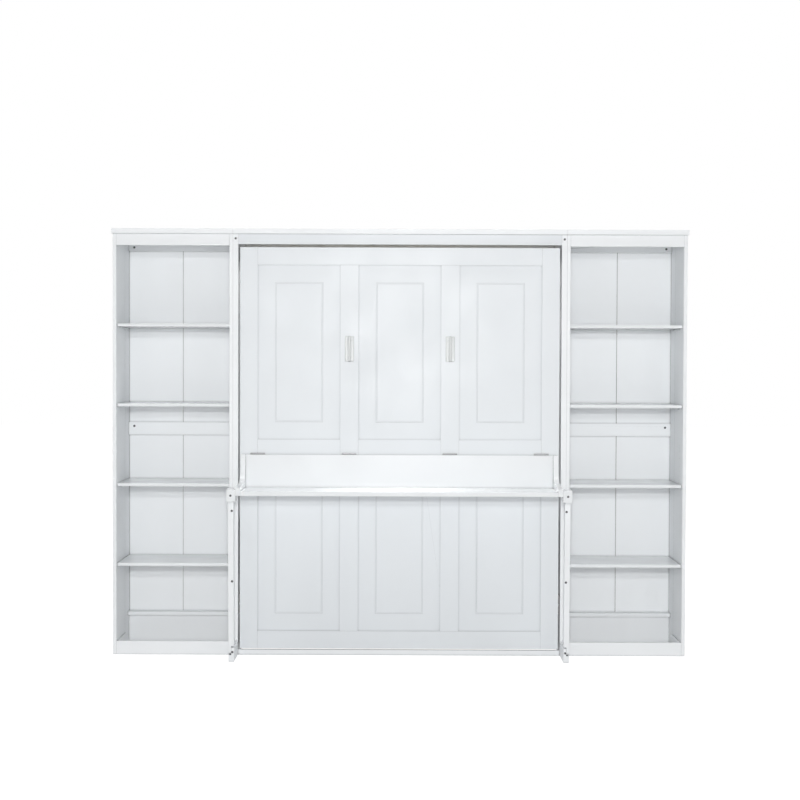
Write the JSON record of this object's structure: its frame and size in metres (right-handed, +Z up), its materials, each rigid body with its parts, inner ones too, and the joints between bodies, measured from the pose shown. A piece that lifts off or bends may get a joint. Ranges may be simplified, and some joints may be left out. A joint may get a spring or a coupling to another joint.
{
  "type": "wall bed with fold down desk",
  "caption": "White panelled wall bed that folds down from a cabinet between open bookcases, with a level desk on front legs that sinks under the bed as it opens.",
  "frame": {"origin": "on the floor, at the middle of the whole unit's width and depth", "axes": "+X to the right as seen from the room, +Y toward the wall, +Z up"},
  "size_m": [2.99, 0.6996, 2.215],
  "materials": {
    "white_board": "satin white laminated or painted board",
    "white_face": "satin white painted board",
    "bare_pine": "planed, unfinished",
    "bright_steel": "zinc plated",
    "dark_steel": "dark oxide",
    "black_cylinder": "gloss black paint",
    "satin_nickel": "satin nickel"
  },
  "bodies": {
    "case": {"left_outer_side": "white_board", "left_inner_side": "white_board", "left_top_board": "white_board", "left_front_rails": "white_board", "left_back_rails": "white_board", "left_back_panels": "white_board", "left_bottom_cleats": "white_board", "left_shelf_1": "white_board", "left_shelf_2": "white_board", "left_shelf_3": "white_board", "left_shelf_4": "white_board", "left_shelf_pins": "bright_steel", "right_outer_side": "white_board", "right_inner_side": "white_board", "right_top_board": "white_board", "right_front_rails": "white_board", "right_back_rails": "white_board", "right_back_panels": "white_board", "right_bottom_cleats": "white_board", "right_shelf_1": "white_board", "right_shelf_2": "white_board", "right_shelf_3": "white_board", "right_shelf_4": "white_board", "right_shelf_pins": "bright_steel", "case_side_left": "white_board", "case_side_right": "white_board", "case_top_board": "white_board", "case_header": "white_board", "case_plinth": "white_board", "case_wall_rails": "white_board", "case_pivots": "bright_steel", "case_fasteners": "dark_steel", "foot_left": "white_board", "foot_right": "white_board"},
    "bed": {"face_sheets": "white_face", "face_stiles": "white_face", "face_rails": "white_face", "face_mullions": "white_face", "bed_rail_left": "white_board", "bed_rail_right": "white_board", "bed_end_rails": "white_board", "bed_slats": "bare_pine", "bed_ledgers": "bare_pine", "bed_pivots": "bright_steel", "handle_left": "satin_nickel", "handle_right": "satin_nickel", "bed_hinge_leaves": "dark_steel"},
    "desk": {"desk_top": "white_board", "desk_back": "white_board", "gusset_left": "white_board", "gusset_right": "white_board", "leg_heads": "white_board", "desk_hinge_leaves": "dark_steel", "desk_fasteners": "dark_steel"},
    "leg_left": {"leg_left": "white_board"},
    "leg_right": {"leg_right": "white_board"},
    "strut_cylinder_left": {"strut_cylinder_left": "black_cylinder"},
    "strut_cylinder_right": {"strut_cylinder_right": "black_cylinder"},
    "strut_rod_left": {"strut_rod_left": "bright_steel"},
    "strut_rod_right": {"strut_rod_right": "bright_steel"}
  },
  "joints": [
    {"name": "bed_fold", "type": "hinge", "parent": "case", "child": "bed", "pos_m": [0, -0.02225, 0.264], "axis": [1, 0, 0], "range_deg": [0, 90], "stiffness_Nm_per_rad": 200, "springref_deg": -51.57},
    {"name": "desk_level", "type": "hinge", "parent": "bed", "child": "desk", "pos_m": [0, -0.05465, 1.05], "axis": [1, 0, 0], "range_deg": [-90, 0]},
    {"name": "leg_swing_left", "type": "hinge", "parent": "case", "child": "leg_left", "pos_m": [-0.866, -0.22925, 0.06], "axis": [1, 0, 0], "range_deg": [0, 90]},
    {"name": "strut_turn_left", "type": "hinge", "parent": "case", "child": "strut_cylinder_left", "pos_m": [-0.814, 0.06775, 0.694], "axis": [1, 0, 0], "range_deg": [0, 10.02]},
    {"name": "strut_slide_left", "type": "slide", "parent": "strut_cylinder_left", "child": "strut_rod_left", "axis": [0, 0, 1], "range_m": [0, 0.23485]},
    {"name": "leg_swing_right", "type": "hinge", "parent": "case", "child": "leg_right", "pos_m": [0.866, -0.22925, 0.06], "axis": [1, 0, 0], "range_deg": [0, 90]},
    {"name": "strut_turn_right", "type": "hinge", "parent": "case", "child": "strut_cylinder_right", "pos_m": [0.814, 0.06775, 0.694], "axis": [1, 0, 0], "range_deg": [0, 10.02]},
    {"name": "strut_slide_right", "type": "slide", "parent": "strut_cylinder_right", "child": "strut_rod_right", "axis": [0, 0, 1], "range_m": [0, 0.23485]}
  ],
  "couplings": [
    {"joint": "desk_level", "follows": "bed_fold", "ratio": -1},
    {"joint": "leg_swing_left", "follows": "bed_fold", "ratio": 1},
    {"joint": "strut_turn_left", "follows": "bed_fold", "ratio": 0.1112},
    {"joint": "strut_slide_left", "follows": "bed_fold", "m_per_rad": 0.14944},
    {"joint": "leg_swing_right", "follows": "bed_fold", "ratio": 1},
    {"joint": "strut_turn_right", "follows": "bed_fold", "ratio": 0.1112},
    {"joint": "strut_slide_right", "follows": "bed_fold", "m_per_rad": 0.14944}
  ]
}
